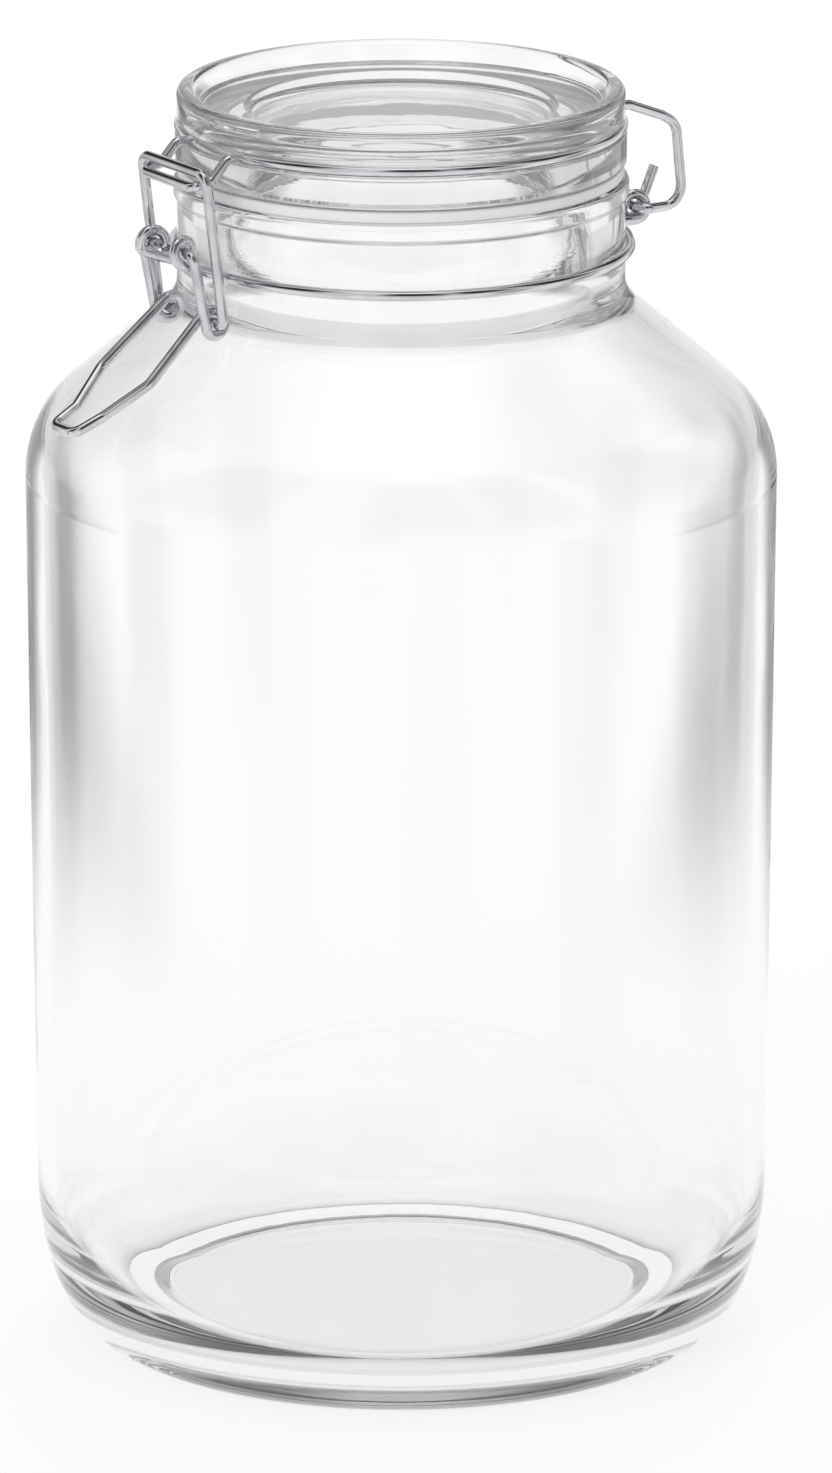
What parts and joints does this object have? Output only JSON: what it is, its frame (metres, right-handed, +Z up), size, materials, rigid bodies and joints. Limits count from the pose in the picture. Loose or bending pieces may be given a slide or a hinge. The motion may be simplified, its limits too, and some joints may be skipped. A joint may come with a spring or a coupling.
{
  "type": "glass storage jar",
  "caption": "Tall round clear glass storage jar with a sloping shoulder, a narrow neck and a hinged glass lid held by a wire bail clasp over a flat rubber seal.",
  "frame": {"origin": "on the base plane, at the middle of the closed jar's whole footprint with its handle, 2.75 mm from the jar's own axis towards the clasp", "axes": "+Z up along the jar, -Y towards the clasp and its handle, +Y towards the lid's hinge"},
  "size_m": [0.1732, 0.1789, 0.2955],
  "materials": {
    "clear_glass": "gloss",
    "pale_rubber": "matte",
    "bright_wire": "polished"
  },
  "bodies": {
    "jar": {"glass_jar": "clear_glass", "neck_band": "bright_wire"},
    "lid": {"glass_lid": "clear_glass", "gasket": "pale_rubber", "lid_wire": "bright_wire"},
    "lever": {"lever": "bright_wire"},
    "bail": {"bail": "bright_wire"}
  },
  "joints": [
    {"name": "lid_hinge", "type": "hinge", "parent": "jar", "child": "lid", "pos_m": [0, 0.06095, 0.26156], "axis": [-1, 0, 0], "range_deg": [0, 100]},
    {"name": "clasp_lever", "type": "hinge", "parent": "jar", "child": "lever", "pos_m": [0, -0.06025, 0.26566], "axis": [-1, 0, 0], "range_deg": [0, 75]},
    {"name": "bail_swing", "type": "hinge", "parent": "lever", "child": "bail", "pos_m": [0, -0.05405, 0.24916], "axis": [1, 0, 0], "range_deg": [0, 110]}
  ],
  "couplings": [
    {"joint": "clasp_lever", "follows": "lid_hinge", "ratio": 0.75},
    {"joint": "bail_swing", "follows": "lid_hinge", "ratio": 1.1}
  ]
}
